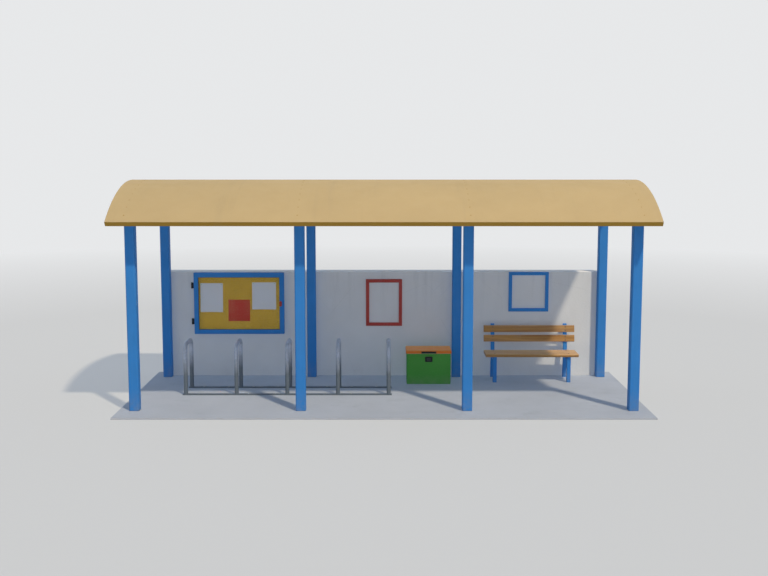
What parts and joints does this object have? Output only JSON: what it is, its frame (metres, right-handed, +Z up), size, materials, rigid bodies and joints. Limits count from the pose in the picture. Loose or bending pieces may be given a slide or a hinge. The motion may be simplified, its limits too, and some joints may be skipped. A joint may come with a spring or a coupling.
{
  "type": "bike shelter",
  "caption": "Open steel-framed bike shelter with a curved roof, low back wall, bike hoops, bench, notice case, poster frames and lidded storage chest.",
  "frame": {"origin": "centre of the underside of the base slab, midway between the front and rear rows of posts", "axes": "+X along the shelter to the bench end, +Y from the open front to the back wall, +Z up"},
  "size_m": [6.4, 2.8, 2.765],
  "materials": {
    "concrete": "broomed concrete",
    "wall_render": "fine render",
    "blue_steel": "satin powder coat",
    "frame_steel": "satin powder coat",
    "roof_skin": "ochre coated sheet",
    "hoop_steel": "galvanised",
    "bench_wood": "oiled hardwood",
    "cork": "cork",
    "clear_glass": "clear",
    "paper_white": "matt",
    "paper_red": "matt",
    "red_paint": "gloss",
    "black_steel": "satin",
    "chest_green": "moulded",
    "lid_orange": "moulded"
  },
  "bodies": {
    "shelter": {"back_wall": "wall_render", "base_slab": "concrete", "bench_back_slats": "bench_wood", "bench_left_frame": "blue_steel", "bench_right_frame": "blue_steel", "bench_seat_board": "bench_wood", "bike_hoop_1": "hoop_steel", "bike_hoop_2": "hoop_steel", "bike_hoop_3": "hoop_steel", "bike_hoop_4": "hoop_steel", "bike_hoop_5": "hoop_steel", "blue_poster_frame": "blue_steel", "case_hinge_pins": "black_steel", "chest_body": "chest_green", "chest_hinge_pins": "black_steel", "chest_latch": "black_steel", "floor_rails": "hoop_steel", "front_eave_beam": "frame_steel", "front_post_1": "blue_steel", "front_post_2": "blue_steel", "front_post_3": "blue_steel", "front_post_4": "blue_steel", "notice_case": "blue_steel", "pale_notices": "paper_white", "pin_board": "cork", "rear_eave_beam": "frame_steel", "rear_post_1": "blue_steel", "rear_post_2": "blue_steel", "rear_post_3": "blue_steel", "rear_post_4": "blue_steel", "red_notice": "paper_red", "red_poster_frame": "red_paint", "roof_purlins": "frame_steel", "roof_rib_1": "frame_steel", "roof_rib_2": "frame_steel", "roof_rib_3": "frame_steel", "roof_rib_4": "frame_steel", "roof_sheet": "roof_skin"},
    "notice_case_door": {"case_door_frame": "blue_steel", "case_door_glass": "clear_glass", "case_door_knob": "red_paint", "case_hinge_sockets": "black_steel"},
    "chest_lid_body": {"chest_lid": "lid_orange", "chest_handle": "black_steel", "chest_hinge_knuckles": "black_steel"}
  },
  "joints": [
    {"name": "case_door_hinge", "type": "hinge", "parent": "shelter", "child": "notice_case_door", "pos_m": [-2.647, 1.0078, 1.044], "axis": [0, 0, -1], "range_deg": [0, 37]},
    {"name": "chest_lid_hinge", "type": "hinge", "parent": "shelter", "child": "chest_lid_body", "pos_m": [0.6, 0.8621, 0.4345], "axis": [-1, 0, 0], "range_deg": [0, 95]}
  ]
}
